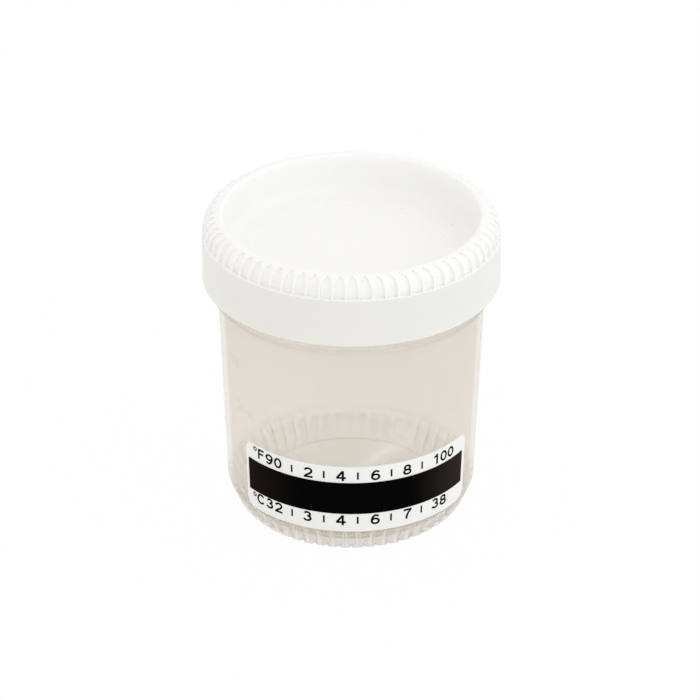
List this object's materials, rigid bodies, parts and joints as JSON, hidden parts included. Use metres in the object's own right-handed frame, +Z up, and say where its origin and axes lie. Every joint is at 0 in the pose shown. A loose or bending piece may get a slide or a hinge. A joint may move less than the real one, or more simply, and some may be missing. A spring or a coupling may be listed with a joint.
{
  "type": "specimen container",
  "caption": "Tapered translucent plastic specimen cup with a fluted foot, a white screw lid with a sunk top and a stuck-on temperature strip.",
  "frame": {"origin": "middle of the cup's standing ring, on the surface that it stands on", "axes": "+Z up along the cup's axis, -Y towards the front, where the temperature strip is"},
  "size_m": [0.0616, 0.0616, 0.0672],
  "materials": {
    "natural_polypropylene": "satin translucent natural polypropylene",
    "white_plastic": "satin moulded white",
    "white_film": "smooth printed label film",
    "black_film": "smooth black crystal layer under film"
  },
  "bodies": {
    "cup": {"cup": "natural_polypropylene", "temperature_strip": "white_film", "crystal_band": "black_film"},
    "lid": {"lid": "white_plastic"}
  },
  "joints": [
    {"name": "lid_lift", "type": "slide", "parent": "cup", "child": "lid", "axis": [0, 0, 1], "range_m": [0, 0.04]}
  ]
}
